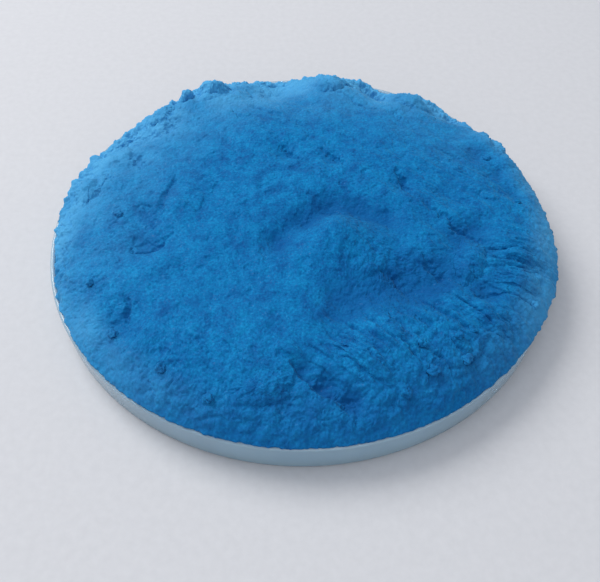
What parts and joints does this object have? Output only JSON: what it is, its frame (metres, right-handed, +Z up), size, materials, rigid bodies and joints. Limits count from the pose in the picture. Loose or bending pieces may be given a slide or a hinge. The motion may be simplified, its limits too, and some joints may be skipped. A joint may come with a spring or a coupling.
{
  "type": "heaped powder dish",
  "caption": "Shallow round clear plastic dish heaped above its lip with caked blue pearl powder, whose lumps and slabs lift off the heap.",
  "frame": {"origin": "centre of the dish's flat underside", "axes": "+Z up along the dish's axis, +Y to the back of the heap, +X to its right"},
  "size_m": [0.0931, 0.093, 0.0164],
  "materials": {
    "clear_plastic": "gloss",
    "powder_mid": "matte",
    "powder_pale": "matte",
    "powder_dark": "matte"
  },
  "bodies": {
    "dish": {"dish": "clear_plastic"},
    "powder": {"powder_heap": "powder_mid", "loose_crumbs": "powder_dark"},
    "crown_lump": {"crown_lump": "powder_pale"},
    "back_left_lumps": {"back_left_lumps": "powder_pale"},
    "shoulder_lump": {"shoulder_lump": "powder_pale"},
    "back_right_lump": {"back_right_lump": "powder_pale"},
    "left_edge_lump": {"left_edge_lump": "powder_pale"},
    "plateau_lump": {"plateau_lump": "powder_pale"},
    "upper_right_slab": {"upper_right_slab": "powder_dark"},
    "lower_right_slab": {"lower_right_slab": "powder_dark"},
    "flaky_lump": {"flaky_lump": "powder_pale"},
    "front_slab": {"front_slab": "powder_dark"},
    "front_lump": {"front_lump": "powder_dark"}
  },
  "joints": [
    {"name": "heap_lift", "type": "slide", "parent": "dish", "child": "powder", "axis": [0, 0, 1], "range_m": [0, 0.02]},
    {"name": "crown_lift", "type": "slide", "parent": "powder", "child": "crown_lump", "axis": [0, 0, 1], "range_m": [0, 0.01]},
    {"name": "back_left_lift", "type": "slide", "parent": "powder", "child": "back_left_lumps", "axis": [0, 0, 1], "range_m": [0, 0.01]},
    {"name": "shoulder_lift", "type": "slide", "parent": "powder", "child": "shoulder_lump", "axis": [0, 0, 1], "range_m": [0, 0.01]},
    {"name": "back_right_lift", "type": "slide", "parent": "powder", "child": "back_right_lump", "axis": [0, 0, 1], "range_m": [0, 0.01]},
    {"name": "left_edge_lift", "type": "slide", "parent": "powder", "child": "left_edge_lump", "axis": [0, 0, 1], "range_m": [0, 0.01]},
    {"name": "plateau_lift", "type": "slide", "parent": "powder", "child": "plateau_lump", "axis": [0, 0, 1], "range_m": [0, 0.01]},
    {"name": "upper_slab_lift", "type": "slide", "parent": "powder", "child": "upper_right_slab", "axis": [0, 0, 1], "range_m": [0, 0.01]},
    {"name": "lower_slab_lift", "type": "slide", "parent": "powder", "child": "lower_right_slab", "axis": [0, 0, 1], "range_m": [0, 0.01]},
    {"name": "flaky_lift", "type": "slide", "parent": "powder", "child": "flaky_lump", "axis": [0, 0, 1], "range_m": [0, 0.01]},
    {"name": "front_slab_lift", "type": "slide", "parent": "powder", "child": "front_slab", "axis": [0, 0, 1], "range_m": [0, 0.01]},
    {"name": "front_lump_lift", "type": "slide", "parent": "powder", "child": "front_lump", "axis": [0, 0, 1], "range_m": [0, 0.01]}
  ]
}
